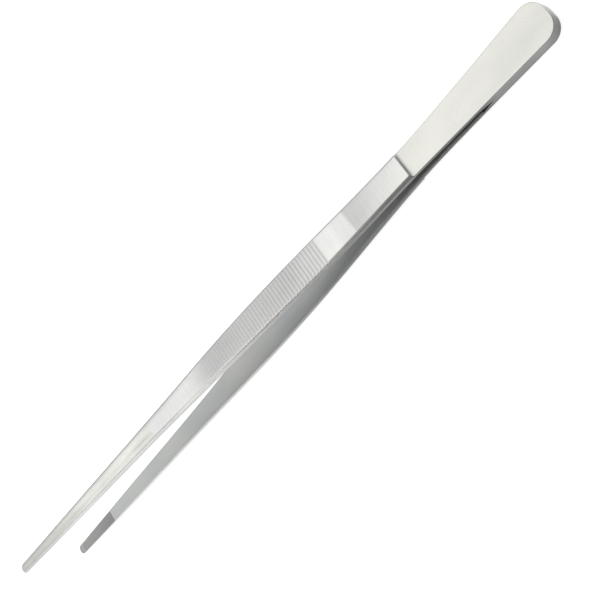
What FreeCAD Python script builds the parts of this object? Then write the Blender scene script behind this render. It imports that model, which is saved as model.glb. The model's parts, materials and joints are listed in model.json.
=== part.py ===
# Long stainless steel tongs: two equal sprung arms with a spacer between their heels.
# Each arm is bent from one strip.  It is drawn here as the part welded at the heel and the
# part that swings, divided in the middle of the spring leaf, where the strip bends.
#
# The arms are drawn in the tongs' own axes: x runs from the heel end to the tips, y is the
# width, and z = 0 is the plane that the upper and the lower arm mirror each other in.
# Lengths are in millimetres and angles in degrees.
import FreeCAD, Part
import math
import os
import Sketcher
from FreeCAD import Placement, Rotation, Vector

SIZES = {
    "overall_length": 300.0,    # heel end to tip, along the middle plane
    # Side view
    "spacer_height": 2.6,       # distance between the two arms at the heel
    "heel_length": 28.0,        # flat stretch, as far as the root of the spacer's notch
    "bow_radius": 750.0,        # the spring leaf bows outwards ...
    "bow_angle": 6.45,          # ... until it has turned by this much
    "belly_radius": 690.0,      # the grip bends back inwards ...
    "front_angle": 2.1,         # ... to this slope, which the front keeps to the tip
    "leaf_thickness": 1.2,
    "bar_thickness": 2.6,
    "tip_thickness": 1.6,
    "step_place": 61.0,         # where the leaf steps up to the bar
    "taper_place": 205.0,       # where the bar begins to get thinner
    "bar_chamfer": 0.8,
    "notch_length": 5.0,        # V notch in the spacer's front end
    "notch_height": 2.3,
    "hinge_place": 47.0,        # middle of the spring leaf, which the arm swings about
    "hinge_gap": 0.08,
    # Plan view
    "heel_width": 13.2,
    "heel_corner": 5.2,
    "shank_place": 38.0,
    "shank_width": 10.9,
    "waist_place": 62.0,
    "waist_width": 9.8,
    "belly_place": 104.0,
    "belly_width": 11.1,
    "wrist_place": 150.0,
    "wrist_width": 10.1,
    "nose_place": 200.0,
    "nose_width": 7.4,
    "slim_place": 250.0,
    "slim_width": 5.8,
    "tip_width": 4.1,
    "tip_corner": 1.7,
    # Grip ribs on the outside and teeth on the inside of each arm
    "grip_start": 99.5,
    "grip_length": 70.5,
    "rib_pitch": 1.465,
    "rib_groove_width": 1.3,
    "rib_groove_depth": 0.2,
    "jaw_start": 270.0,
    "jaw_length": 27.5,
    "tooth_pitch": 1.0,
    "tooth_groove_width": 0.8,
    "tooth_groove_depth": 0.4,
}
OVERCUT = 3.0                   # how far blanks and cutters run past what they make
SLENDER = 10                    # an edge this many times longer than wide runs lengthwise

doc = FreeCAD.newDocument("tongs")
sheet = doc.addObject("Spreadsheet::Sheet", "sizes")
for row, (name, value) in enumerate(SIZES.items(), start=1):
    sheet.set(f"A{row}", name)
    sheet.set(f"B{row}", str(value))
    sheet.setAlias(f"B{row}", name)
doc.recompute()


def worked_out(formula):
    """Present value of a formula of the sheet's sizes."""
    return float(sheet.evalExpression(formula))


# The inner face of the upper arm is a flat, a bow arc, a belly arc and a straight front,
# each tangent to the next.  These are the centres of the two arcs.
BOW_X = "sizes.heel_length"
BOW_Z = "(sizes.spacer_height / 2 + sizes.bow_radius)"
BELLY_X = "(sizes.heel_length + (sizes.bow_radius + sizes.belly_radius) * sin(sizes.bow_angle))"
BELLY_Z = f"({BOW_Z} - (sizes.bow_radius + sizes.belly_radius) * cos(sizes.bow_angle))"


def square_off(place, thickness):
    """x of the point at a thickness above the inner face where the bow passes a place."""
    return f"({place} - {thickness} * ({place} - sizes.heel_length) / sizes.bow_radius)"


def bow_end(thickness):
    return f"({BOW_X} + (sizes.bow_radius - {thickness}) * sin(sizes.bow_angle))"


def belly_end(thickness):
    return f"({BELLY_X} - (sizes.belly_radius + {thickness}) * sin(sizes.front_angle))"


def face_height(x, thickness):
    """Height of the upper arm's face at x, thickness above its inner face."""
    bow_radius = worked_out(f"sizes.bow_radius - {thickness}")
    belly_radius = worked_out(f"sizes.belly_radius + {thickness}")
    if x <= worked_out(BOW_X):
        return worked_out(BOW_Z) - bow_radius
    if x <= worked_out(bow_end(thickness)):
        return worked_out(BOW_Z) - math.sqrt(bow_radius**2 - (x - worked_out(BOW_X)) ** 2)
    straight = worked_out(belly_end(thickness))
    along = min(x, straight) - worked_out(BELLY_X)
    height = worked_out(BELLY_Z) + math.sqrt(belly_radius**2 - along**2)
    return height + max(0.0, x - straight) * worked_out("tan(sizes.front_angle)")


def origin_plane(body, role):
    return next(plane for plane in body.Origin.OriginFeatures if plane.Role == role)


def new_sketch(body, name, role):
    sketch = body.newObject("Sketcher::SketchObject", name)
    sketch.AttachmentSupport = [(origin_plane(body, role), "")]
    sketch.MapMode = "FlatFace"
    return sketch


def bind(sketch, kind, *where, formula):
    """Add a dimension to a sketch and tie it to a formula of the sheet's sizes."""
    index = sketch.addConstraint(Sketcher.Constraint(kind, *where, worked_out(formula)))
    sketch.setExpression(f"Constraints[{index}]", formula)


ORIGIN = (-1, 1)                    # the sketch's origin, as a constraint names it
START, END, CENTRE = range(1, 4)    # points of a line or an arc, likewise


def bind_x(sketch, piece, point, formula):
    bind(sketch, "DistanceX", *ORIGIN, piece, point, formula=formula)


def bind_height(sketch, piece, point, formula):
    bind(sketch, "DistanceY", *ORIGIN, piece, point, formula=formula)


def add_line(sketch, first, last):
    return sketch.addGeometry(Part.LineSegment(Vector(*first, 0), Vector(*last, 0)))


def add_chain(sketch, points):
    """Closed chain of lines through points; returns the first line's number."""
    first = sketch.GeometryCount
    for one, other in zip(points, points[1:] + points[:1]):
        add_line(sketch, one, other)
    count = len(points)
    sketch.addConstraint([
        Sketcher.Constraint("Coincident", first + i, END, first + (i + 1) % count, START)
        for i in range(count)
    ])
    return first


def add_arc(sketch, centre, ends):
    """Arc anticlockwise about a centre, given as formulas, from one end to the other.
    Its radius follows from what its ends join."""
    middle = Vector(worked_out(centre[0]), worked_out(centre[1]), 0)
    spokes = [Vector(*end, 0) - middle for end in ends]
    angles = [math.atan2(spoke.y, spoke.x) for spoke in spokes]
    circle = Part.Circle(middle, Vector(0, 0, 1), spokes[0].Length)
    arc = sketch.addGeometry(Part.ArcOfCircle(circle, *angles))
    bind_x(sketch, arc, CENTRE, centre[0])
    bind_height(sketch, arc, CENTRE, centre[1])
    return arc


def pad_both_ways(body, sketch, formula):
    pad = body.newObject("PartDesign::Pad", "Blank")
    pad.Profile = sketch
    pad.SideType = "Symmetric"
    pad.setExpression("Length", formula)
    return pad


def cut_through(body, sketch, name):
    """Pocket through the whole body, both ways from the sketch's plane."""
    doc.recompute()
    if "Invalid" in sketch.State:
        raise RuntimeError(f"{body.Label}: {sketch.Label} can't be solved")
    before = body.Shape.Volume
    pocket = body.newObject("PartDesign::Pocket", name)
    pocket.Profile = sketch
    pocket.SideType = "Symmetric"
    pocket.Type = "ThroughAll"
    doc.recompute()
    if not body.Shape.Volume < before:
        raise RuntimeError(f"{body.Label}: {name} cuts nothing")
    return pocket


BLANK_WIDTH = f"sizes.heel_width + {2 * OVERCUT}"


def trim_to_plan(body):
    """Cut a blank, seen from above, to the outline of the whole tongs."""
    sketch = new_sketch(body, "PlanOutline", "XY_Plane")
    length, heel_width, heel_corner, tip_width, tip_corner = (
        worked_out(f"sizes.{name}")
        for name in ("overall_length", "heel_width", "heel_corner", "tip_width", "tip_corner")
    )
    side = worked_out(BLANK_WIDTH)
    frame = add_chain(sketch, [
        (-OVERCUT, -side), (length + OVERCUT, -side), (length + OVERCUT, side), (-OVERCUT, side),
    ])
    for line in (frame, frame + 2):
        sketch.addConstraint(Sketcher.Constraint("Horizontal", line))
    for line in (frame + 1, frame + 3):
        sketch.addConstraint(Sketcher.Constraint("Vertical", line))
    bind_x(sketch, frame, START, f"-{OVERCUT}")
    bind_x(sketch, frame, END, f"sizes.overall_length + {OVERCUT}")
    bind_height(sketch, frame, START, f"-({BLANK_WIDTH})")
    bind_height(sketch, frame + 1, END, BLANK_WIDTH)

    stations = [(heel_corner, heel_width / 2)]
    for station in ("shank", "waist", "belly", "wrist", "nose", "slim"):
        place = worked_out(f"sizes.{station}_place")
        stations.append((place, worked_out(f"sizes.{station}_width / 2")))
    stations.append((length - tip_corner, tip_width / 2))

    heel_centre = ("sizes.heel_corner", "(sizes.heel_width / 2 - sizes.heel_corner)")
    tip_centre = ("(sizes.overall_length - sizes.tip_corner)",
                  "(sizes.tip_width / 2 - sizes.tip_corner)")
    heel_flat = heel_width / 2 - heel_corner
    tip_flat = tip_width / 2 - tip_corner
    far_side = add_arc(sketch, heel_centre, [stations[0], (0, heel_flat)])
    heel_end = add_line(sketch, (0, heel_flat), (0, -heel_flat))
    near_side = add_arc(sketch, (heel_centre[0], f"-{heel_centre[1]}"),
                        [(0, -heel_flat), (heel_corner, -heel_width / 2)])
    near_edge = Part.BSplineCurve()
    near_edge.interpolate([Vector(x, -y, 0) for x, y in stations])
    near_edge = sketch.addGeometry(near_edge)
    near_tip = add_arc(sketch, (tip_centre[0], f"-{tip_centre[1]}"),
                       [(length - tip_corner, -tip_width / 2), (length, -tip_flat)])
    tip_end = add_line(sketch, (length, -tip_flat), (length, tip_flat))
    far_tip = add_arc(sketch, tip_centre, [(length, tip_flat), stations[-1]])
    far_edge = Part.BSplineCurve()
    far_edge.interpolate([Vector(x, y, 0) for x, y in reversed(stations)])
    far_edge = sketch.addGeometry(far_edge)
    ring = [far_side, heel_end, near_side, near_edge, near_tip, tip_end, far_tip, far_edge]
    sketch.addConstraint([
        Sketcher.Constraint("Coincident", piece, END, after, START)
        for piece, after in zip(ring, ring[1:] + ring[:1])
    ])
    for arc, corner in ((far_side, "heel_corner"), (near_side, "heel_corner"),
                        (near_tip, "tip_corner"), (far_tip, "tip_corner")):
        bind(sketch, "Radius", arc, formula=f"sizes.{corner}")
    bind_height(sketch, heel_end, START, heel_centre[1])
    bind_height(sketch, heel_end, END, f"-{heel_centre[1]}")
    bind_height(sketch, tip_end, START, f"-{tip_centre[1]}")
    bind_height(sketch, tip_end, END, tip_centre[1])
    bind_x(sketch, far_edge, END, "sizes.heel_corner")
    bind_x(sketch, near_edge, START, "sizes.heel_corner")
    bind_x(sketch, far_edge, START, tip_centre[0])
    bind_x(sketch, near_edge, END, tip_centre[0])
    cut_through(body, sketch, "PlanTrim")


def groove_row(name, start, pitch, width, depth, face, out_of_metal):
    """Cutters of a row of V grooves across a face.  face gives the face's height at x, and
    out_of_metal is 1 for a face that looks up and -1 for one that looks down."""
    first, step, across, deep = (
        worked_out(f"sizes.{size}") for size in (start, pitch, width, depth)
    )
    cutters = []
    for number in range(int(worked_out(f"sizes.{name}_length") / step)):
        left = first + number * step
        middle, right = left + across / 2, left + across
        clear = face(middle) + out_of_metal * OVERCUT
        corners = [
            (left, clear), (left, face(left)), (middle, face(middle) - out_of_metal * deep),
            (right, face(right)), (right, clear), (left, clear),
        ]
        reach = worked_out(BLANK_WIDTH)
        outline = Part.makePolygon([Vector(x, -reach / 2, z) for x, z in corners])
        cutters.append(Part.Face(outline).extrude(Vector(0, reach, 0)))
    return cutters


def make_arm(label):
    """Swinging part of the upper arm, in two nodes: the grip, with half of the spring leaf,
    and the nose, with the jaw."""
    body = doc.addObject("PartDesign::Body", f"{label}_strip")
    sketch = new_sketch(body, "SideProfile", "XZ_Plane")
    cut = "(sizes.hinge_place + sizes.hinge_gap / 2)"
    leaf, bar = "sizes.leaf_thickness", "sizes.bar_thickness"
    inner = [worked_out(place) for place in
             (cut, bow_end("0"), belly_end("0"), "sizes.overall_length")]
    outer = [worked_out(place) for place in
             (f"sizes.taper_place - {bar} * sin(sizes.front_angle)", belly_end(bar), bow_end(bar),
              square_off("sizes.step_place", bar))]
    step = worked_out(square_off("sizes.step_place", leaf))
    thick, thin = worked_out(bar), worked_out(leaf)
    inner_points = [(x, face_height(x, "0")) for x in inner]
    tip_top = (inner[3], inner_points[3][1] + worked_out("sizes.tip_thickness"))
    outer_points = [(x, face_height(x, bar)) for x in outer]
    leaf_points = [(step, face_height(step, leaf)), (inner[0], face_height(inner[0], leaf))]

    bow, belly = (BOW_X, BOW_Z), (BELLY_X, BELLY_Z)
    inner_bow = add_arc(sketch, bow, inner_points[0:2])
    inner_belly = add_arc(sketch, belly, [inner_points[2], inner_points[1]])
    inner_front = add_line(sketch, *inner_points[2:4])
    tip = add_line(sketch, inner_points[3], tip_top)
    taper = add_line(sketch, tip_top, outer_points[0])
    front = add_line(sketch, *outer_points[0:2])
    outer_belly = add_arc(sketch, belly, outer_points[1:3])
    outer_bow = add_arc(sketch, bow, [outer_points[3], outer_points[2]])
    riser = add_line(sketch, outer_points[3], leaf_points[0])
    leaf_bow = add_arc(sketch, bow, [leaf_points[1], leaf_points[0]])
    root = add_line(sketch, leaf_points[1], inner_points[0])
    joints = [
        (inner_bow, END, inner_belly, END), (inner_belly, START, inner_front, START),
        (inner_front, END, tip, START), (tip, END, taper, START), (taper, END, front, START),
        (front, END, outer_belly, START), (outer_belly, END, outer_bow, END),
        (outer_bow, START, riser, START), (riser, END, leaf_bow, END),
        (leaf_bow, START, root, START), (root, END, inner_bow, START),
    ]
    sketch.addConstraint([Sketcher.Constraint("Coincident", *joint) for joint in joints])
    for line in (tip, root):
        sketch.addConstraint(Sketcher.Constraint("Vertical", line))
    sketch.addConstraint(Sketcher.Constraint("Parallel", inner_front, front))
    bind(sketch, "Radius", inner_bow, formula="sizes.bow_radius")
    bind(sketch, "Radius", outer_bow, formula=f"sizes.bow_radius - {bar}")
    bind(sketch, "Radius", leaf_bow, formula=f"sizes.bow_radius - {leaf}")
    bind(sketch, "Angle", inner_front, formula="sizes.front_angle")
    bind(sketch, "DistanceY", tip, START, tip, END, formula="sizes.tip_thickness")
    for piece, point, formula in (
        (inner_bow, START, cut), (inner_bow, END, bow_end("0")),
        (inner_belly, START, belly_end("0")), (inner_front, END, "sizes.overall_length"),
        (front, START, f"sizes.taper_place - {bar} * sin(sizes.front_angle)"),
        (outer_belly, START, belly_end(bar)), (outer_bow, END, bow_end(bar)),
        (outer_bow, START, square_off("sizes.step_place", bar)),
        (leaf_bow, END, square_off("sizes.step_place", leaf)),
    ):
        bind_x(sketch, piece, point, formula)
    pad_both_ways(body, sketch, BLANK_WIDTH)
    trim_to_plan(body)

    # The long edges of the bar's outer face are chamfered from the step to the tip.  They
    # are the long slender ones, off the middle and above most of the tip's thickness.
    blank = body.Tip
    off_middle = worked_out("sizes.tip_width / 4")
    near_outside = worked_out("sizes.tip_thickness * 0.9")
    long_edges = []
    for number, edge in enumerate(blank.Shape.Edges, start=1):
        box = edge.BoundBox
        middle = edge.valueAt((edge.FirstParameter + edge.LastParameter) / 2)
        level = face_height(middle.x, "0") + near_outside
        lengthwise = box.XLength > max(thick, SLENDER * box.YLength) and middle.x > outer[3]
        if lengthwise and abs(middle.y) > off_middle and middle.z > level:
            long_edges.append(f"Edge{number}")
    chamfer = body.newObject("PartDesign::Chamfer", "BarChamfer")
    chamfer.Base = (blank, long_edges)
    chamfer.setExpression("Size", "sizes.bar_chamfer")
    doc.recompute()

    # The grooves follow the curved face, so their cutters are placed one by one.
    grooves = doc.addObject("Part::Feature", f"{label}_grooves")
    grooves.Shape = Part.makeCompound(
        groove_row("grip", "grip_start", "rib_pitch", "rib_groove_width", "rib_groove_depth",
                   lambda x: face_height(x, bar), 1)
        + groove_row("jaw", "jaw_start", "tooth_pitch", "tooth_groove_width",
                     "tooth_groove_depth", lambda x: face_height(x, "0"), -1)
    )
    arm = doc.addObject("Part::Cut", label)
    arm.Base = body
    arm.Tool = grooves

    # The two nodes meet face to face in the middle of the belly, so each is nearly straight.
    seam, reach = (inner[1] + inner[2]) / 2, inner[3]
    rear = doc.addObject("Part::Feature", f"{label}_rear")
    rear.Shape = Part.makeBox(seam, reach, reach, Vector(0, -reach / 2, 0))
    nodes = []
    for kind, name in (("Part::Common", "grip"), ("Part::Cut", "nose")):
        node = doc.addObject(kind, f"{label}_{name}")
        node.Base, node.Tool = arm, rear
        nodes.append(node)
    return nodes


def make_heel_leaf(label):
    """Welded part of the upper arm: the flat heel and the other half of the spring leaf."""
    body = doc.addObject("PartDesign::Body", label)
    sketch = new_sketch(body, "SideProfile", "XZ_Plane")
    cut = "(sizes.hinge_place - sizes.hinge_gap / 2)"
    leaf = "sizes.leaf_thickness"
    flat_end, leaf_end = worked_out(BOW_X), worked_out(cut)
    inside, outside = (
        [(x, face_height(x, level)) for x in (0, flat_end, leaf_end)] for level in ("0", leaf)
    )
    bow = (BOW_X, BOW_Z)
    inner_flat = add_line(sketch, *inside[0:2])
    inner_bow = add_arc(sketch, bow, inside[1:3])
    end = add_line(sketch, inside[2], outside[2])
    outer_bow = add_arc(sketch, bow, outside[1:3])
    outer_flat = add_line(sketch, outside[1], outside[0])
    heel_end = add_line(sketch, outside[0], inside[0])
    joints = [
        (inner_flat, END, inner_bow, START), (inner_bow, END, end, START),
        (end, END, outer_bow, END), (outer_bow, START, outer_flat, START),
        (outer_flat, END, heel_end, START), (heel_end, END, inner_flat, START),
    ]
    sketch.addConstraint([Sketcher.Constraint("Coincident", *joint) for joint in joints])
    for line in (end, heel_end):
        sketch.addConstraint(Sketcher.Constraint("Vertical", line))
    for line in (inner_flat, outer_flat):
        sketch.addConstraint(Sketcher.Constraint("Horizontal", line))
    bind(sketch, "Radius", inner_bow, formula="sizes.bow_radius")
    bind(sketch, "Radius", outer_bow, formula=f"sizes.bow_radius - {leaf}")
    bind_x(sketch, inner_flat, START, "0")
    bind_x(sketch, inner_bow, START, BOW_X)
    bind_x(sketch, outer_bow, START, BOW_X)
    bind_x(sketch, inner_bow, END, cut)
    pad_both_ways(body, sketch, BLANK_WIDTH)
    trim_to_plan(body)
    return body


def make_spacer(label):
    """Block between the two heels, with a V notch in its front end."""
    body = doc.addObject("PartDesign::Body", label)
    sketch = new_sketch(body, "SideProfile", "XZ_Plane")
    root, height, mouth = (worked_out(formula) for formula in
                           ("sizes.heel_length", "sizes.spacer_height / 2",
                            "sizes.notch_height / 2"))
    front = root + worked_out("sizes.notch_length")
    outline = add_chain(sketch, [
        (0, -height), (front, -height), (front, -mouth), (root, 0), (front, mouth),
        (front, height), (0, height),
    ])
    bottom, lower_lip, lower_slope, upper_slope, upper_lip, top, heel_end = range(
        outline, outline + 7)
    for line in (bottom, top):
        sketch.addConstraint(Sketcher.Constraint("Horizontal", line))
    for line in (lower_lip, upper_lip, heel_end):
        sketch.addConstraint(Sketcher.Constraint("Vertical", line))
    bind_x(sketch, bottom, START, "0")
    bind_x(sketch, bottom, END, "sizes.heel_length + sizes.notch_length")
    bind_x(sketch, upper_lip, START, "sizes.heel_length + sizes.notch_length")
    bind_x(sketch, upper_slope, START, "sizes.heel_length")
    bind_height(sketch, upper_slope, START, "0")
    bind_height(sketch, bottom, START, "-sizes.spacer_height / 2")
    bind_height(sketch, top, START, "sizes.spacer_height / 2")
    bind_height(sketch, lower_lip, END, "-sizes.notch_height / 2")
    bind_height(sketch, upper_lip, START, "sizes.notch_height / 2")
    pad_both_ways(body, sketch, BLANK_WIDTH)
    trim_to_plan(body)
    return body


# The tongs stand on the end of the lower heel and on the belly of the lower arm.  The lean
# is the slope of the line through the heel's lower end that touches the belly.
half_heel = worked_out("sizes.spacer_height / 2 + sizes.leaf_thickness")
belly_x = worked_out(BELLY_X)
belly_rise = half_heel - worked_out(BELLY_Z)
outer_belly_radius = worked_out("sizes.belly_radius + sizes.bar_thickness")
reach = math.hypot(belly_x, belly_rise)
lean = math.asin(outer_belly_radius / reach) - math.atan2(belly_rise, belly_x)
length = worked_out("sizes.overall_length")
half_tips = face_height(length, "0") + worked_out("sizes.tip_thickness")
rearmost = -half_heel * math.sin(lean)
tip_corner_height = half_tips - worked_out("sizes.bar_chamfer")
foremost = length * math.cos(lean) + tip_corner_height * math.sin(lean)
stand = Placement(
    Vector(-(rearmost + foremost) / 2, 0, half_heel * math.cos(lean)),
    Rotation(Vector(0, 1, 0), -math.degrees(lean)),
)
over = Placement(Vector(0, 0, 0), Rotation(Vector(1, 0, 0), 180))

parts = [make_spacer("heel_spacer")]
parts[0].Placement = stand
for side, turn in (("upper", Placement()), ("lower", over)):
    for part in (make_heel_leaf(f"{side}_heel_leaf"), *make_arm(f"{side}_arm")):
        part.Placement = stand.multiply(turn)
        parts.append(part)
doc.recompute()

for item in doc.Objects:
    if "Invalid" in item.State or "Error" in item.State:
        raise RuntimeError(f"{item.Label} failed: {item.State}")
os.makedirs("parts", exist_ok=True)
for part in parts:
    if part.Shape.isNull() or not part.Shape.isValid():
        raise RuntimeError(f"{part.Label} has no valid shape")
    part.Shape.exportStep(f"parts/{part.Label}.step")
    print(part.Label, "solids", len(part.Shape.Solids), "volume", round(part.Shape.Volume, 1))
print("lean", round(math.degrees(lean), 4), "degrees")
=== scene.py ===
# Long stainless steel print tongs: two sprung arms and the spacer between their heels.
# The pieces are drawn in the tongs' own axes, in millimetres: x runs from the heel end to
# the tips, y is the width, and z = 0 is the plane that the two arms mirror each other in.
import json
import math

import bmesh
import bpy
from mathutils import Matrix, Vector


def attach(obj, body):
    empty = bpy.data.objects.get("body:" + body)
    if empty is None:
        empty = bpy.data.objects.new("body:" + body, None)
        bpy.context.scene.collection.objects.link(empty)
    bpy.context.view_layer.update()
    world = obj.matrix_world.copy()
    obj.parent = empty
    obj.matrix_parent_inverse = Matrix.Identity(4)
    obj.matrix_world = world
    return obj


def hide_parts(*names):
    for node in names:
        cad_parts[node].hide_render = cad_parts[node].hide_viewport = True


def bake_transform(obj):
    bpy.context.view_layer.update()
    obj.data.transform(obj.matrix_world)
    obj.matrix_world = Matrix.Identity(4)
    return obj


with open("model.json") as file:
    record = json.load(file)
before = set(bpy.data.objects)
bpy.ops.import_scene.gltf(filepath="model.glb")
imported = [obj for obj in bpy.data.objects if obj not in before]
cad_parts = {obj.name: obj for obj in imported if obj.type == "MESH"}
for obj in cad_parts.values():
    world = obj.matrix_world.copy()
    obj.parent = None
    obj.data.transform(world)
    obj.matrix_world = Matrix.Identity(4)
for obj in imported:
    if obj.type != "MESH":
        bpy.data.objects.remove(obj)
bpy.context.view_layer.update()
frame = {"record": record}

scene = bpy.context.scene
scene.view_settings.view_transform = "Standard"
millimetre = 0.001
quarterTurn = math.pi / 2

# Shape of both arms, the same sizes as the solids
strip = {
    "length": 300.0, "spacerHeight": 2.6, "heelLength": 28.0,
    "bowRadius": 750.0, "bowAngle": 6.45,          # the spring leaf bows outwards ...
    "bellyRadius": 690.0, "frontAngle": 2.1,       # ... and the grip bends back to this slope
    "leafThickness": 1.2, "barThickness": 2.6, "tipThickness": 1.6,
    "stepPlace": 61.0, "stepFillet": 0.95, "stepRound": 0.42,
    "taperPlace": 205.0,                           # from here the bar gets thinner
    "heelCorner": 5.2, "tipCorner": 1.7,
    "widths": {5.2: 13.2, 38.0: 10.9, 62.0: 9.8, 104.0: 11.1, 150.0: 10.1, 200.0: 7.4,
               250.0: 5.8, 298.3: 4.1},            # full width at each place
    "nosePlace": 197.0,                            # from here the outside is ground lengthwise
}


def tongsAxes():
    # The heel's two flat faces give the tongs' own axes in the frame.
    mounts = {mount["name"]: mount for mount in frame["record"]["mounts"]}
    upper, lower = mounts["upper_heel_face"], mounts["lower_heel_face"]
    up = Vector(upper["axis"]).normalized()
    across = Vector((0.0, 1.0, 0.0))
    along = across.cross(up)
    middle = (Vector(upper["pos_m"]) + Vector(lower["pos_m"])) / 2
    heelEnd = middle - along * (strip["heelLength"] / 2 * millimetre)
    axes = Matrix((along, across, up)).transposed().to_4x4()
    axes.translation = heelEnd
    return axes


placing = tongsAxes()


# Camera and lights

camera = {"lookAt": (121.6, 3.1, 0.0), "distance": 336.9, "azimuth": 144.884,
          "elevation": 51.955, "roll": -95.833, "lens": 60.0, "sensor": 36.0,
          "nearest": 10.0}


def addCamera():
    azimuth, elevation = math.radians(camera["azimuth"]), math.radians(camera["elevation"])
    back = Vector((math.cos(azimuth) * math.cos(elevation),
                   math.sin(azimuth) * math.cos(elevation), math.sin(elevation)))
    right = Vector((0, 0, 1)).cross(back).normalized()
    turn = Matrix.Rotation(math.radians(camera["roll"]), 3, back)
    right = turn @ right
    place = Vector(camera["lookAt"]) + back * camera["distance"]
    view = Matrix((right, back.cross(right), back)).transposed().to_4x4()
    view.translation = place * millimetre
    data = bpy.data.cameras.new("camera")
    data.lens, data.sensor_width = camera["lens"], camera["sensor"]
    data.clip_start = camera["nearest"] * millimetre
    made = bpy.data.objects.new("camera", data)
    made.matrix_world = placing @ view
    scene.collection.objects.link(made)
    scene.camera = made


softboxes = {   # middle and size in metres, brightness, and the point it faces
    "overhead": {"middle": (1.10, -0.35, 0.90), "size": (2.6, 1.2), "brightness": 1.55,
                 "facing": (1.10, -0.35, 0.0)},
    "heelSide": {"middle": (-0.85, -0.45, 1.00), "size": (1.3, 1.3), "brightness": 1.0,
                 "facing": (0.0, 0.0, 0.0)},
    "tipEnd": {"middle": (1.60, -0.50, 0.40), "size": (1.2, 0.8), "brightness": 1.0,
               "facing": (0.0, 0.0, 0.0)},
    "frontFill": {"middle": (-0.35, 1.00, 1.00), "size": (1.8, 1.0), "brightness": 1.2,
                  "facing": (0.0, 0.0, 0.0)},
    "tipSide": {"middle": (1.05, 0.62, 0.42), "size": (1.0, 0.7), "brightness": 1.9,
                "facing": (0.0, 0.0, 0.0)},
}
roomBrightness = 0.22


def addLights():
    for name, box in softboxes.items():
        data = bpy.data.lights.new(f"{name}_softbox", "AREA")
        data.shape, data.size, data.size_y = "RECTANGLE", box["size"][0], box["size"][1]
        data.energy = box["brightness"] * math.pi * box["size"][0] * box["size"][1]
        middle, facing = Vector(box["middle"]), Vector(box["facing"])
        made = bpy.data.objects.new(f"{name}_softbox", data)
        made.matrix_world = (Matrix.Translation(middle)
                             @ (middle - facing).to_track_quat("Z", "Y").to_matrix().to_4x4())
        scene.collection.objects.link(made)
    world = bpy.data.worlds.new("room")
    world.use_nodes = True
    sky = world.node_tree.nodes["Background"]
    sky.inputs["Color"].default_value = (1.0, 1.0, 1.0, 1.0)
    sky.inputs["Strength"].default_value = roomBrightness
    scene.world = world


# Materials

def linear(code):
    # sRGB hex value to a linear colour
    parts = [int(code[i:i + 2], 16) / 255 for i in (1, 3, 5)]
    return tuple(p / 12.92 if p <= 0.04045 else ((p + 0.055) / 1.055) ** 2.4
                 for p in parts) + (1.0,)


def addNode(tree, kind, inputs=(), **settings):
    node = tree.nodes.new(kind)
    for name, value in settings.items():
        setattr(node, name, value)
    for key, value in dict(inputs).items():
        if isinstance(value, bpy.types.NodeSocket):
            tree.links.new(value, node.inputs[key])
        else:
            node.inputs[key].default_value = value
    return node


def newMaterial(name):
    made = bpy.data.materials.new(name)
    made.use_nodes = True
    made.node_tree.nodes.clear()
    return made, made.node_tree


scratchDetail = 3.0          # how many layers of finer noise a grain has ...
grainRoughness = 0.6         # ... and how strong the finer ones are


def grain(tree, size, stretch, detail=scratchDetail):
    # Noise in the tongs' own axes; size is the grain's width in millimetres, and stretch is
    # how many times longer it is along x, y and z.
    where = addNode(tree, "ShaderNodeTexCoord")
    moved = addNode(tree, "ShaderNodeMapping", {
        "Vector": where.outputs["Object"], "Location": -placing.translation,
    })
    lean = math.atan2(placing[2][0], placing[0][0])
    level = addNode(tree, "ShaderNodeMapping", {
        "Vector": moved.outputs["Vector"], "Rotation": (0.0, lean, 0.0),
        "Scale": [1.0 / (size * millimetre * long) for long in stretch],
    })
    return addNode(tree, "ShaderNodeTexNoise", {
        "Vector": level.outputs["Vector"], "Scale": 1.0, "Detail": detail,
        "Roughness": grainRoughness,
    })


toneRanges = {"along": (0.0, strip["length"]), "side": (-1.0, 1.0)}


def paintLightAndShadeBy(tree, attribute, paintedLightAndShade, skew=0.0):
    # Painted light and shade: how much lighter or darker the colour is made, as
    # {place: tone}.  A place is in millimetres along the arm, or from the -Y side at -1 to the
    # +Y side at 1.  With a skew the painted tones slant across the arm.
    low, high = toneRanges[attribute]
    value = addNode(tree, "ShaderNodeAttribute", attribute_name=attribute)
    across = addNode(tree, "ShaderNodeAttribute", attribute_name="across")
    slid = addNode(tree, "ShaderNodeMath", {
        0: across.outputs["Fac"], 1: skew, 2: value.outputs["Fac"],
    }, operation="MULTIPLY_ADD")
    share = addNode(tree, "ShaderNodeMapRange", {
        "Value": slid.outputs[0], "From Min": low, "From Max": high,
    })
    ramp = addNode(tree, "ShaderNodeValToRGB", {"Fac": share.outputs["Result"]})
    stops = ramp.color_ramp.elements
    while len(stops) < len(paintedLightAndShade):
        stops.new(1.0)
    for stop, (place, tone) in zip(stops, sorted(paintedLightAndShade.items())):
        stop.position = (place - low) / (high - low)
        stop.color = (tone, tone, tone, 1.0)
    return ramp.outputs["Color"]


clouding = {"size": 12.0, "stretch": (2.5, 1.0, 1.0), "detail": 2.0, "share": 0.45}
tintStops = (0.38, 0.62)     # values of the grain that have its dark and its light colour
glossRange = (0.3, 0.7)      # values of the grain between which the roughness changes ...
glossSpread = 0.05           # ... by this much to either side


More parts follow.
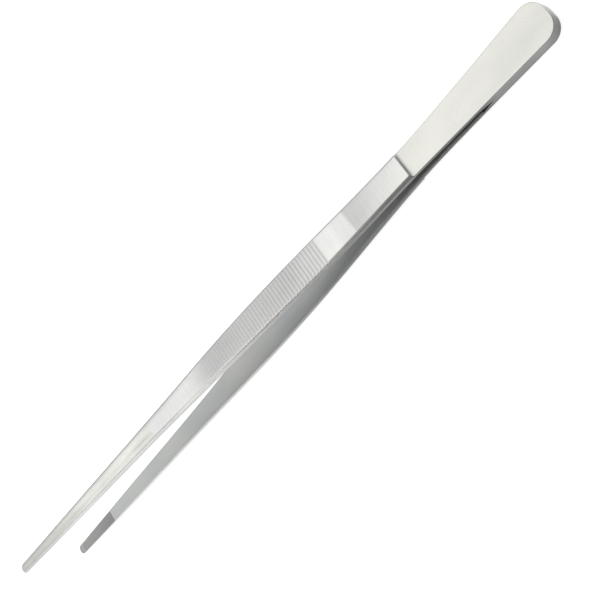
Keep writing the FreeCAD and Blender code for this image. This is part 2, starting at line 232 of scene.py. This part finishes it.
def steel(name, colours, roughness, size, stretch, bump, paintedLightAndShade, skew=0.0, across=None,
          paintedStreak=None):
    # Stainless steel with a directional finish.  colours run from the grain's dark to its
    # light; size and stretch are the grain's, in millimetres; bump is its depth.  The tones
    # along the arm and across it are painted light and shade.  The last argument is a painted
    # line, given as a pair: how strong it is along the arm, and its tones across.
    # Real scratches and bead marks are 0.02 to 0.05 mm wide, too fine to show, so every grain
    # here is drawn about ten times as coarse.
    made, tree = newMaterial(name)
    scratches = grain(tree, size, stretch)
    clouds = grain(tree, clouding["size"], clouding["stretch"], clouding["detail"])
    both = addNode(tree, "ShaderNodeMix", {
        "Factor": clouding["share"], "A": scratches.outputs["Fac"], "B": clouds.outputs["Fac"],
    }, data_type="FLOAT")
    tint = addNode(tree, "ShaderNodeValToRGB", {"Fac": both.outputs["Result"]})
    for stop, place, colour in zip(tint.color_ramp.elements, tintStops, colours):
        stop.position, stop.color = place, linear(colour)
    # Painted light and shade: tones along, across and in lines darken or lighten the grain
    layers = [(paintLightAndShadeBy(tree, "along", paintedLightAndShade, skew), 1.0)]
    if across:
        layers.append((paintLightAndShadeBy(tree, "side", across), 1.0))
    if paintedStreak:
        strength, marks = paintedStreak
        layers.append((paintLightAndShadeBy(tree, "side", marks), paintLightAndShadeBy(tree, "along", strength)))
    shaded = tint.outputs["Color"]
    for tone, share in layers:
        shaded = addNode(tree, "ShaderNodeMix", {"Factor": share, "A": shaded, "B": tone},
                         data_type="RGBA", blend_type="MULTIPLY").outputs["Result"]
    gloss = addNode(tree, "ShaderNodeMapRange", {
        "Value": scratches.outputs["Fac"],
        "From Min": glossRange[0], "From Max": glossRange[1],
        "To Min": roughness - glossSpread, "To Max": roughness + glossSpread,
    })
    relief = addNode(tree, "ShaderNodeBump", {
        "Height": scratches.outputs["Fac"], "Strength": 1.0, "Distance": bump * millimetre,
    })
    shader = addNode(tree, "ShaderNodeBsdfPrincipled", {
        "Base Color": shaded, "Roughness": gloss.outputs["Result"],
        "Normal": relief.outputs["Normal"], "Metallic": 1.0,
    })
    addNode(tree, "ShaderNodeOutputMaterial", {"Surface": shader.outputs["BSDF"]})
    return made


def satinBlastedSteel():
    # Heel and spring leaf: blasted with fine glass beads, a soft even satin with a fine speckle
    return steel("satinBlastedSteel", ("#B8B8B3", "#C6C6C0"), roughness=0.34, size=0.35,
                 stretch=(1.0, 1.0, 1.0), bump=0.004, paintedLightAndShade={0.0: 0.96, 61.0: 0.94})


def crossGroundSteelPaintedReflections():
    # Outside of the bar: drawn across a fine belt, hair scratches from edge to edge.  Its
    # tones are painted reflections: a painted highlight on the step's crest, painted dark
    # bands to 86 mm, a painted bright panel just before the grip, painted shade over the grip
    # and lighter again from 163 mm.  The streak is painted shade along the -Y edge from 168 mm.
    return steel("crossGroundSteelPaintedReflections", ("#BEBEBF", "#CDCDC9"), roughness=0.36, size=0.45,
                 stretch=(1.0, 22.0, 1.0), bump=0.003, skew=0.07,
                 paintedLightAndShade={61.3: 1.0, 61.9: 0.9, 66.0: 0.85, 72.0: 0.81, 84.3: 0.67, 85.7: 0.67,
                        86.6: 0.88, 90.5: 0.87, 94.2: 0.97, 96.2: 0.92, 99.5: 0.94,
                        100.0: 0.79, 107.0: 0.76, 115.0: 0.68, 131.0: 0.65, 150.0: 0.615,
                        158.0: 0.62, 163.0: 0.665, 170.0: 0.82, 174.0: 0.86, 197.0: 0.88},
                 paintedStreak=({168.0: 0.0, 177.0: 1.0},
                         {-1.0: 0.78, -0.8: 0.84, -0.6: 0.94, -0.45: 1.0}))


def lengthGroundSteelPaintedShade():
    # Nose: drawn lengthwise over a fine belt, long streaks that run to the tip.  Painted shade
    # darkens it towards the tip and along its edges, and a painted dark reflection line runs
    # down the flute, strongest near 202 mm and 254 mm.
    return steel("lengthGroundSteelPaintedShade", ("#B8B8B4", "#CACAC4"), roughness=0.34, size=0.42,
                 stretch=(60.0, 1.0, 1.0), bump=0.004,
                 paintedLightAndShade={197.0: 0.9, 212.0: 0.92, 228.0: 0.93, 242.0: 0.88, 257.0: 0.79,
                        270.0: 0.7, 285.0: 0.63, 300.0: 0.59},
                 across={-1.0: 0.8, -0.8: 0.86, -0.6: 0.94, -0.4: 1.0, 0.3: 1.0, 0.6: 0.96,
                         1.0: 0.9},
                 paintedStreak=({197.0: 0.0, 202.0: 1.0, 207.0: 1.0, 213.0: 0.45, 240.0: 0.4,
                          254.0: 0.8, 262.0: 0.6, 272.0: 0.0},
                         {-0.1: 1.0, 0.12: 0.88, 0.24: 0.79, 0.38: 0.88, 0.6: 1.0}))


def rolledInnerSteelPaintedLightAndShade():
    # Inner faces: the strip's own rolled satin skin, greyer and less bright.  Its tones are
    # painted light and shade: lighter between 70 and 95 mm, darker from 110 mm on.
    return steel("rolledInnerSteelPaintedLightAndShade", ("#B0B4B6", "#BFC0BC"), roughness=0.42, size=0.4,
                 stretch=(30.0, 1.0, 1.0), bump=0.003,
                 paintedLightAndShade={0.0: 0.78, 50.0: 0.76, 62.0: 0.7, 70.0: 0.76, 79.0: 0.83, 88.0: 0.87,
                        95.0: 0.78, 110.0: 0.66, 150.0: 0.61, 200.0: 0.63, 222.0: 0.67,
                        300.0: 0.66})


def groundEdgeSteelPaintedShade():
    # Narrow walls: ground lengthwise on a wheel.  Painted shade makes them dark from 12 mm to
    # about 110 mm and lighter towards the tips.  The heel's round end has a painted highlight
    # on its -Y side and painted shade at its +Y corner.
    return steel("groundEdgeSteelPaintedShade", ("#BABABC", "#C8C8C6"), roughness=0.36, size=0.25,
                 stretch=(30.0, 1.0, 1.0), bump=0.004,
                 paintedLightAndShade={0.0: 0.9, 5.2: 0.9, 12.0: 0.41, 26.0: 0.4, 31.0: 0.23, 50.0: 0.22,
                        62.0: 0.34, 105.0: 0.31, 120.0: 0.47, 160.0: 0.88, 300.0: 0.94},
                 paintedStreak=({0.0: 1.0, 5.2: 1.0, 12.0: 0.0},
                         {-0.25: 1.0, 0.1: 0.7, 0.35: 0.4, 0.75: 0.34, 1.0: 0.43}))


def plusChamferSteelPaintedReflection():
    # Chamfer along the bar's +Y side: a painted dark reflection from the step to about 100 mm,
    # full tone from 125 to 172 mm, and painted shade towards the tip
    return steel("plusChamferSteelPaintedReflection", ("#BEBEBC", "#CCCCC9"), roughness=0.30, size=0.25,
                 stretch=(40.0, 1.0, 1.0), bump=0.003,
                 paintedLightAndShade={61.0: 0.34, 72.0: 0.36, 87.0: 0.54, 103.0: 0.82, 125.0: 1.0,
                        172.0: 1.0, 188.0: 0.84, 262.0: 0.72, 300.0: 0.58})


def minusChamferSteelPaintedShade():
    # Chamfer along the -Y side, left as ground: full tone up to 108 mm, then painted shade
    # towards the tip
    return steel("minusChamferSteelPaintedShade", ("#B8B8BA", "#C4C4C5"), roughness=0.36, size=0.25,
                 stretch=(40.0, 1.0, 1.0), bump=0.003,
                 paintedLightAndShade={61.0: 1.0, 108.0: 1.0, 125.0: 0.86, 150.0: 0.78, 300.0: 0.74})


def cutToothSteelPaintedShade():
    # Jaw teeth: cut metal left as the tool leaves it.  The whole toothed patch is coloured
    # darker, painted shade for the hollows between the crests, and darker still past 297 mm.
    return steel("cutToothSteelPaintedShade", ("#868786", "#939492"), roughness=0.32, size=0.2,
                 stretch=(1.0, 12.0, 1.0), bump=0.003,
                 paintedLightAndShade={270.0: 0.8, 276.0: 0.86, 284.0: 0.92, 296.5: 0.94, 297.5: 0.74,
                        300.0: 0.72})


finishes = {   # face attribute -> material; faces with none are the arm's inner face
    "blasted": satinBlastedSteel(), "crossGround": crossGroundSteelPaintedReflections(),
    "lengthGround": lengthGroundSteelPaintedShade(), "plusChamfer": plusChamferSteelPaintedReflection(),
    "minusChamfer": minusChamferSteelPaintedShade(), "edge": groundEdgeSteelPaintedShade(), "teeth": cutToothSteelPaintedShade(),
}
innerFinish = rolledInnerSteelPaintedLightAndShade()
print("materials made")


# Rules that give the arms' shape

bowAngle, frontAngle = math.radians(strip["bowAngle"]), math.radians(strip["frontAngle"])
bowCentre = (strip["heelLength"], strip["spacerHeight"] / 2 + strip["bowRadius"])
bowEnd = bowCentre[0] + strip["bowRadius"] * math.sin(bowAngle)
centresApart = strip["bowRadius"] + strip["bellyRadius"]
bellyCentre = (bowCentre[0] + centresApart * math.sin(bowAngle),
               bowCentre[1] - centresApart * math.cos(bowAngle))
bellyEnd = bellyCentre[0] - strip["bellyRadius"] * math.sin(frontAngle)


def innerLine(x):
    # Height and slope of the upper arm's inner face
    if x <= bowCentre[0]:
        return strip["spacerHeight"] / 2, 0.0
    if x <= bowEnd:
        slope = math.asin((x - bowCentre[0]) / strip["bowRadius"])
        return bowCentre[1] - strip["bowRadius"] * math.cos(slope), slope
    slope = math.asin((bellyCentre[0] - min(x, bellyEnd)) / strip["bellyRadius"])
    height = bellyCentre[1] + strip["bellyRadius"] * math.cos(slope)
    return height + max(0.0, x - bellyEnd) * math.tan(slope), slope


def halfWidth(x):
    # Smooth curve through the widths, and its slope
    places = sorted(strip["widths"])
    halves = [strip["widths"][place] / 2 for place in places]
    last = len(places) - 1
    x = min(max(x, places[0]), places[-1])
    i = max(k for k in range(last) if places[k] <= x)

    def tangent(k):
        before, after = max(k - 1, 0), min(k + 1, last)
        return (halves[after] - halves[before]) / (places[after] - places[before])

    span = places[i + 1] - places[i]
    t = (x - places[i]) / span
    start, end = tangent(i) * span, tangent(i + 1) * span
    rise = halves[i + 1] - halves[i]
    a, b = start + end - 2 * rise, 3 * rise - 2 * start - end
    return halves[i] + t * (start + t * (b + t * a)), (start + t * (2 * b + 3 * t * a)) / span


def planEdge(x, corner):
    # Point of the +Y outline and the way inwards from it.  corner is the turn, from 0 at the
    # heel end or the tip end to 90 degrees at the side; None is the side between the corners.
    if corner is None:
        half, slope = halfWidth(x)
        inward = Vector((slope, -1.0)).normalized()
        return Vector((x, half)), inward
    turn = math.radians(corner)
    if x < strip["length"] / 2:
        radius, way = strip["heelCorner"], -1.0
        middle = Vector((radius, halfWidth(0)[0] - radius))
    else:
        radius, way = strip["tipCorner"], 1.0
        middle = Vector((strip["length"] - radius, halfWidth(strip["length"])[0] - radius))
    outward = Vector((way * math.cos(turn), math.sin(turn)))
    return middle + outward * radius, -outward


def eased(x, start, length):
    t = min(max((x - start) / length, 0.0), 1.0)
    return t * t * (3 - 2 * t)


def mixed(a, b, share):
    return a + (b - a) * share


def taperShare(x):
    # From 0 where the bar begins to get thinner to 1 at the tip
    past = max(x - strip["taperPlace"], 0.0)
    return min(past / (strip["length"] - strip["taperPlace"]), 1.0)


# Stations along an arm: place, turn of the corner, thickness and share of the bar's section

mesh = {"step": 1.5, "cornerTurns": 14, "filletTurns": 6, "roundTurns": 4, "columns": 16,
        "perGroove": 8, "afterStep": 0.8}
ribs = {"start": 99.5, "pitch": 1.465, "count": 48, "width": 1.3, "depth": 0.2, "fading": 6}
teeth = {"start": 270.0, "pitch": 1.0, "count": 27, "width": 0.8, "depth": 0.4, "fading": 0}


def spaced(start, end, step):
    count = max(1, math.ceil((end - start) / step))
    return [start + (end - start) * i / count for i in range(count)]


def armStations():
    leaf, bar = strip["leafThickness"], strip["barThickness"]
    fillet, crest = strip["stepFillet"], strip["stepRound"]
    turns = [90 * i / mesh["cornerTurns"] for i in range(mesh["cornerTurns"])]
    stations = [(0.0, turn, leaf, 0.0) for turn in turns]
    foot = strip["stepPlace"] - fillet
    stations += [(x, None, leaf, 0.0) for x in spaced(strip["heelCorner"], foot, mesh["step"])]
    for i in range(mesh["filletTurns"] + 1):       # fillet at the foot of the step
        turn = quarterTurn * i / mesh["filletTurns"]
        rise = fillet * (1 - math.cos(turn))
        stations.append((foot + fillet * math.sin(turn), None, leaf + rise,
                         rise / (bar - leaf)))
    for i in range(mesh["roundTurns"] + 1):        # rounded crest of the step
        turn = quarterTurn * i / mesh["roundTurns"]
        drop = crest * (1 - math.sin(turn))
        stations.append((strip["stepPlace"] + crest * (1 - math.cos(turn)), None, bar - drop,
                         1 - drop / (bar - leaf)))

    ribEnd = ribs["start"] + ribs["count"] * ribs["pitch"]
    toothEnd = teeth["start"] + teeth["count"] * teeth["pitch"]
    tipSide = strip["length"] - strip["tipCorner"]
    places = spaced(strip["stepPlace"] + mesh["afterStep"], ribs["start"], mesh["step"])
    places += spaced(ribs["start"], ribEnd, ribs["pitch"] / mesh["perGroove"])
    places += spaced(ribEnd, teeth["start"], mesh["step"])
    places += spaced(teeth["start"], toothEnd, teeth["pitch"] / mesh["perGroove"])
    places += spaced(toothEnd, tipSide, mesh["step"])
    stations += [(x, None, mixed(bar, strip["tipThickness"], taperShare(x)), 1.0)
                 for x in places]
    stations += [(strip["length"], turn, strip["tipThickness"], 1.0)
                 for turn in [90.0] + turns[:0:-1] + [0.0]]
    return stations


# Edges: the inner face's, which grows from the heel on, the leaf's outer edge, and the bar's
# chamfer with a rounding on both its sides
edges = {
    "heelInner": 0.02, "inner": 0.10, "innerGrows": 10.0,
    "leaf": 0.08, "leafRound": 0.4, "chamfer": 0.8, "chamferRound": 0.15,
    "innerBulge": 0.29, "bulge": 0.2, "bulgeNear": 0.38, "bulgeFar": 0.92,
    "slantShares": (0.33, 0.66),
}
wallTopLevel, slantLevel = 4, 6                     # rows of sideProfile, counted from 0
innerLevels = 3


def sideProfile(x, thickness, barShare):
    # From the inner face's edge up the wall and over the chamfer to the outer face's edge:
    # how far in from the outline, and how high above the inner face.
    grown = eased(x, strip["heelLength"], edges["innerGrows"])
    inner = mixed(edges["heelInner"], edges["inner"], grown)
    cut = mixed(edges["leaf"], edges["chamfer"], barShare)
    soft = mixed(edges["leafRound"] * cut, edges["chamferRound"], barShare)
    wallTop = thickness - cut
    slant = soft * math.sqrt(0.5)
    bulge = edges["bulge"] * soft
    near, far = edges["bulgeNear"] * bulge, edges["bulgeFar"] * bulge
    innerMiddle = edges["innerBulge"] * inner
    return [
        (inner, 0.0), (innerMiddle, innerMiddle), (0.0, inner),
        (0.0, mixed(inner, wallTop, 0.5)),
        (0.0, wallTop - soft), (far, wallTop - near), (slant, wallTop + slant),
        *((mixed(slant, cut - slant, share), mixed(wallTop + slant, thickness - slant, share))
          for share in edges["slantShares"]),
        (cut - slant, thickness - slant), (cut + near, thickness - far),
        (cut + soft, thickness),
    ]


def bent(point, height):
    # Carry a plan point, height above the straight inner face, onto the bent arm.
    z, slope = innerLine(point.x)
    square = 1.0 - taperShare(point.x)
    return Vector((point.x - height * math.sin(slope) * square, point.y,
                   z + height * mixed(1.0, math.cos(slope), square)))


# The front's outer face rolls off gently towards its edges, and a shallow flute runs down it
nose = {
    "rollPlace": 172.0, "rollGrows": 20.0, "rollDrop": 0.14, "rollPower": 4,
    "flutePlace": 0.25, "fluteWidth": 1.8, "fluteDepth": 0.08, "fluteGrows": 4.0,
    "fluteEnd": 264.0, "fluteFades": 24.0,
}


def noseDrop(point, half):
    roll = nose["rollDrop"] * eased(point.x, nose["rollPlace"], nose["rollGrows"])
    roll *= (point.y / half) ** nose["rollPower"]
    begun = eased(point.x, strip["nosePlace"], nose["fluteGrows"])
    gone = 1.0 - eased(point.x, nose["fluteEnd"] - nose["fluteFades"], nose["fluteFades"])
    apart = min(abs(point.y - nose["flutePlace"] * half) / (nose["fluteWidth"] / 2), 1.0)
    return roll + nose["fluteDepth"] * begun * gone * (0.5 + 0.5 * math.cos(math.pi * apart))


samePlace = 0.01           # places closer than this are one
uncut = 9.0                # a depth that no groove reaches


def wallFinish(x, y, slanted):
    if not slanted or x < strip["stepPlace"] - strip["stepFillet"]:
        return "edge"
    return "plusChamfer" if y > 0 else "minusChamfer"


def outerFinish(x):
    if x < strip["stepPlace"] - strip["stepFillet"]:
        return "blasted"
    return "crossGround" if x < strip["nosePlace"] else "lengthGround"


def innerFaceFinish(x):
    return "teeth" if x >= teeth["start"] - samePlace else "inner"


def armBlank(name, way):
    # Closed mesh of an arm without its grooves: a ring of points at each station, and a grid
    # over each end.  way is -1 for an arm that gets turned over, so that "side" means the
    # same on both.
    columns = mesh["columns"]
    points, facts = [], []     # a fact is along, across, side and how deep each row must cut

    def keep(plan, height, ribCut, toothCut):
        points.append(bent(plan, height))
        facts.append((plan.x, plan.y, way * plan.y / halfWidth(plan.x)[0], ribCut, toothCut))
        return len(points) - 1

    sections = []
    for x, corner, thickness, barShare in armStations():
        edge, inward = planEdge(x, corner)
        profile = sideProfile(edge.x, thickness, barShare)
        rows = [(edge + inward * inset, height) for inset, height in profile]
        sections.append((rows, thickness, noseDrop(rows[-1][0], rows[-1][0].y)))
    count = len(sections[0][0])
    top = count - 1

    def sidePoint(section, level, mirror):
        rows, thickness, drop = section
        plan, height = rows[level]
        height -= drop * max(0.0, (level - slantLevel + 1) / (count - slantLevel))
        if mirror:
            plan = Vector((plan.x, -plan.y))
        return keep(plan, height, thickness - height if level >= slantLevel else uncut,
                    height if level < innerLevels else uncut)

    def acrossPoint(section, level, column):
        rows, thickness, drop = section
        edge, height = rows[level]
        plan = Vector((edge.x, mixed(edge.y, -edge.y, column / columns)))
        if level == top:
            height = thickness - noseDrop(plan, edge.y)
            return keep(plan, height, thickness - height, uncut)
        return keep(plan, height, uncut, 0.0 if level == 0 else uncut)

    rings = []                 # up the +Y side, over the top, down the -Y side and back below
    for section in sections:
        ring = [sidePoint(section, level, False) for level in range(count)]
        ring += [acrossPoint(section, top, column) for column in range(1, columns)]
        ring += [sidePoint(section, level, True) for level in reversed(range(count))]
        ring += [acrossPoint(section, 0, columns - column) for column in range(1, columns)]
        rings.append(ring)

    faces, kinds = [], []
    size = len(rings[0])
    lastSide = 2 * count + columns - 2             # the -Y side's lowest point in a ring
    for ring, following in zip(rings, rings[1:]):
        for j in range(size):
            after = (j + 1) % size
            faces.append((ring[j], ring[after], following[after], following[j]))
            x, y = facts[ring[j]][:2]
            level = j if j < top else lastSide - 1 - j
            if 0 <= level < top:
                kinds.append(wallFinish(x, y, level >= wallTopLevel))
            elif j < top + columns:
                kinds.append(outerFinish(x))
            else:
                kinds.append(innerFaceFinish(x))

    for number, flip in ((0, False), (len(rings) - 1, True)):
        ring, section = rings[number], sections[number]
        grid = []
        for level in range(count):
            if level == top:
                inside = ring[count:count + columns - 1]
            elif level == 0:
                inside = ring[:lastSide:-1]
            else:
                inside = [acrossPoint(section, level, column) for column in range(1, columns)]
            grid.append([ring[level]] + inside + [ring[lastSide - level]])
        for low, high in zip(grid, grid[1:]):
            for k in range(columns):
                face = (low[k], low[k + 1], high[k + 1], high[k])
                faces.append(face[::-1] if flip else face)
                kinds.append("edge")

    made = bpy.data.meshes.new(name)
    made.from_pydata([tuple(point) for point in points], [], faces)
    made.polygons.foreach_set("use_smooth", [True] * len(faces))
    for number, title in enumerate(("along", "across", "side", "ribCut", "toothCut")):
        attribute = made.attributes.new(title, "FLOAT", "POINT")
        attribute.data.foreach_set("value", [fact[number] for fact in facts])
    for kind in finishes:
        attribute = made.attributes.new(kind, "BOOLEAN", "FACE")
        attribute.data.foreach_set("value", [found == kind for found in kinds])
    made.update()
    return made


# Geometry Nodes: rows of grooves sunk into the dense faces, then the finishes

grooveSteps = (   # result, operation and terms, for one row of grooves
    ("past", "SUBTRACT", "along", "start"),
    ("place", "DIVIDE", "past", "pitch"),
    ("number", "FLOOR", "place"),
    ("share", "SUBTRACT", "place", "number"),
    ("within", "MULTIPLY", "share", "pitch"),
    ("half", "MULTIPLY", "width", 0.5),
    ("offCentre", "SUBTRACT", "within", "half"),
    ("apart", "ABSOLUTE", "offCentre"),
    ("side", "DIVIDE", "apart", "half"),
    ("nearness", "SUBTRACT", 1.0, "side"),
    ("slope", "MAXIMUM", "nearness", 0.0),         # 0 at a groove's edge, 1 in its middle
    ("squared", "MULTIPLY", "slope", "slope"),
    ("easing", "MULTIPLY_ADD", "slope", -2.0, 3.0),
    ("valley", "MULTIPLY", "squared", "easing"),
    ("toCome", "SUBTRACT", "count", "number"),
    ("left", "SUBTRACT", "toCome", 0.5),
    ("fade", "MAXIMUM", "fading", 0.5),
    ("strength", "DIVIDE", "left", "fade"),        # the last grooves get shallower
    ("full", "MINIMUM", "strength", 1.0),
    ("shape", "MULTIPLY", "valley", "full"),
    ("deep", "MULTIPLY", "shape", "depth"),
    ("beyond", "SUBTRACT", "deep", "below"),
    ("sunk", "MAXIMUM", "beyond", 0.0),
    ("begun", "GREATER_THAN", "number", -0.5),
    ("end", "SUBTRACT", "count", 0.5),
    ("going", "LESS_THAN", "number", "end"),
    ("inRow", "MULTIPLY", "begun", "going"),
    ("cut", "MULTIPLY", "sunk", "inRow"),
    ("rise", "MULTIPLY", "cut", "way"),
)


def grooveTree():
    tree = bpy.data.node_groups.new("cutGrooves", "GeometryNodeTree")
    for way in ("INPUT", "OUTPUT"):
        tree.interface.new_socket("Geometry", in_out=way, socket_type="NodeSocketGeometry")
    identifiers = {}
    for row, sizes in (("Rib", ribs), ("Tooth", teeth)):
        for size in sizes:
            title = f"{row} {size}"
            made = tree.interface.new_socket(title, in_out="INPUT",
                                             socket_type="NodeSocketFloat")
            identifiers[title] = made.identifier
    into = addNode(tree, "NodeGroupInput")
    named = {}
    for title in ("along", "ribCut", "toothCut", *finishes):
        kind = "BOOLEAN" if title in finishes else "FLOAT"
        named[title] = addNode(tree, "GeometryNodeInputNamedAttribute", {"Name": title},
                               data_type=kind).outputs["Attribute"]

    body = into.outputs["Geometry"]
    for row, sizes, below, way in (("Rib", ribs, "ribCut", -1.0),
                                   ("Tooth", teeth, "toothCut", 1.0)):
        value = {size: into.outputs[f"{row} {size}"] for size in sizes}
        value.update(along=named["along"], below=named[below], way=way)
        for result, operation, *terms in grooveSteps:
            value[result] = addNode(tree, "ShaderNodeMath",
                                    enumerate(value.get(term, term) for term in terms),
                                    operation=operation).outputs[0]
        offset = addNode(tree, "ShaderNodeCombineXYZ", {"Z": value["rise"]})
        body = addNode(tree, "GeometryNodeSetPosition", {
            "Geometry": body, "Offset": offset.outputs["Vector"],
        }).outputs["Geometry"]

    body = addNode(tree, "GeometryNodeRealizeInstances", {"Geometry": body}).outputs[0]
    body = addNode(tree, "GeometryNodeSetMaterial", {
        "Geometry": body, "Material": innerFinish,
    }).outputs[0]
    for kind, finish in finishes.items():
        body = addNode(tree, "GeometryNodeSetMaterial", {
            "Geometry": body, "Selection": named[kind], "Material": finish,
        }).outputs[0]
    addNode(tree, "NodeGroupOutput", {"Geometry": body})
    return tree, identifiers


cutGrooves, grooveInputs = grooveTree()


def grooved(name, blank, turn):
    # Run the nodes on a blank, and keep the result as a plain mesh in its place.
    worker = bpy.data.objects.new(f"{name}_blank", blank)
    scene.collection.objects.link(worker)
    modifier = worker.modifiers.new("grooves", "NODES")
    modifier.node_group = cutGrooves
    for row, sizes in (("Rib", ribs), ("Tooth", teeth)):
        for size, value in sizes.items():
            modifier[grooveInputs[f"{row} {size}"]] = float(value)
    bpy.context.view_layer.update()
    ready = worker.evaluated_get(bpy.context.evaluated_depsgraph_get())
    cut = bpy.data.meshes.new_from_object(ready)
    worker.modifiers.remove(modifier)
    bpy.data.objects.remove(worker)
    cut.transform(placing @ turn @ Matrix.Scale(millimetre, 4))
    made = bpy.data.objects.new(name, cut)
    scene.collection.objects.link(made)
    return made


upright = Matrix.Identity(4)
turnedOver = Matrix.Rotation(math.pi, 4, "X")


def addArm(side, turn, way):
    arm = grooved(f"{side}_tongs_arm", armBlank(f"{side}_arm_blank", way), turn)
    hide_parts(f"{side}_arm_grip", f"{side}_arm_nose", f"{side}_heel_leaf")
    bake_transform(arm)


addArm("upper", upright, 1.0)
addArm("lower", turnedOver, -1.0)
print("arms made")


# Spacer between the heels, with a V notch in its front end

spacer = {"notchLength": 5.0, "notchHeight": 2.3}


def addSpacer():
    root, height = strip["heelLength"], strip["spacerHeight"] / 2
    front, mouth = root + spacer["notchLength"], spacer["notchHeight"] / 2
    plan = [planEdge(0.0, 90 * i / mesh["cornerTurns"])[0] for i in range(mesh["cornerTurns"])]
    plan += [planEdge(x, None)[0] for x in spaced(strip["heelCorner"], root, mesh["step"])]
    plan += [planEdge(x, None)[0] for x in (root, mixed(root, front, 0.5), front)]
    points, faces = [], []
    for point in plan:         # eight points a station: up the +Y side, then up the -Y side
        gap = max(0.0, (point.x - root) / spacer["notchLength"]) * mouth
        points += [(point.x, y, z) for y in (point.y, -point.y)
                   for z in (-height, -gap, gap, height)]
    for i in range(len(plan) - 1):
        a, b = 8 * i, 8 * i + 8
        strips = [(0, 1), (2, 3), (4, 5), (6, 7), (0, 4), (3, 7)]
        if plan[i].x >= root:
            strips += [(1, 5), (2, 6)]
        faces += [(a + low, a + high, b + high, b + low) for low, high in strips]
    last = 8 * (len(plan) - 1)
    for end in (0, last):
        faces += [(end, end + 1, end + 5, end + 4), (end + 2, end + 3, end + 7, end + 6)]
    made = bpy.data.meshes.new("heel_spacer_block")
    shape = bmesh.new()
    corners = [shape.verts.new(point) for point in points]
    for face in faces:
        shape.faces.new([corners[k] for k in face])
    bmesh.ops.remove_doubles(shape, verts=shape.verts, dist=1e-5)
    bmesh.ops.recalc_face_normals(shape, faces=shape.faces)
    shape.to_mesh(made)
    shape.free()
    facts = [(point.co.x, point.co.y, point.co.y / halfWidth(point.co.x)[0])
             for point in made.vertices]
    for number, title in enumerate(("along", "across", "side")):
        attribute = made.attributes.new(title, "FLOAT", "POINT")
        attribute.data.foreach_set("value", [fact[number] for fact in facts])
    made.transform(placing @ Matrix.Scale(millimetre, 4))
    # The spacer gets the walls' steel, with its painted shade and round-end highlight
    made.materials.append(finishes["edge"])
    block = bpy.data.objects.new("heel_spacer_block", made)
    scene.collection.objects.link(block)
    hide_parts("heel_spacer")
    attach(block, "heel")


addSpacer()
print("spacer made")
addCamera()
addLights()


floor = {"reach": 3.0, "colour": "#D3D3D3", "roughness": 0.9, "glow": 0.6}


def addFloor():
    # A sheet of opal acrylic lit from below, which leaves almost no shadow
    reach = floor["reach"]
    made = bpy.data.meshes.new("floor")
    corners = [(-reach, -reach, 0), (reach, -reach, 0), (reach, reach, 0), (-reach, reach, 0)]
    made.from_pydata(corners, [], [(0, 1, 2, 3)])
    sheet = bpy.data.objects.new("floor", made)
    finish, tree = newMaterial("backlitWhiteAcrylic")
    shader = addNode(tree, "ShaderNodeBsdfPrincipled", {
        "Base Color": linear(floor["colour"]), "Roughness": floor["roughness"],
        "Emission Color": (1.0, 1.0, 1.0, 1.0), "Emission Strength": floor["glow"],
    })
    addNode(tree, "ShaderNodeOutputMaterial", {"Surface": shader.outputs["BSDF"]})
    made.materials.append(finish)
    scene.collection.objects.link(sheet)


addFloor()
print("camera, lights and floor made")
